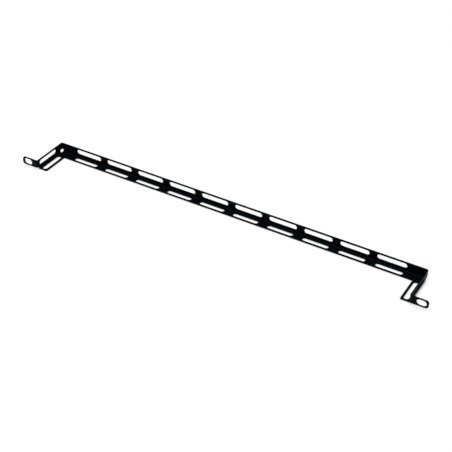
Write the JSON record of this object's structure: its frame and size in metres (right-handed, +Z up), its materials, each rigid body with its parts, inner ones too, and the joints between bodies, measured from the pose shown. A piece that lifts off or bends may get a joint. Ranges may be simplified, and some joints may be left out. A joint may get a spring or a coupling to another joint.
{
  "type": "offset lacing bar",
  "caption": "Long slotted black steel angle, set back from the rack on short folded arms with slotted screw ears; cable bundles are tied along it.",
  "frame": {"origin": "on the floor under the bar, midway between the ears and between the ears' front face and the bar's back face", "axes": "+X along the bar, -Y towards the rack (the ears' front face), +Z up from the flange"},
  "size_m": [0.4792, 0.0474, 0.0112],
  "materials": {
    "sheet": "fine satin black powder coat on folded steel sheet"
  },
  "bodies": {
    "root": {"lacing_bar": "sheet"}
  },
  "joints": []
}
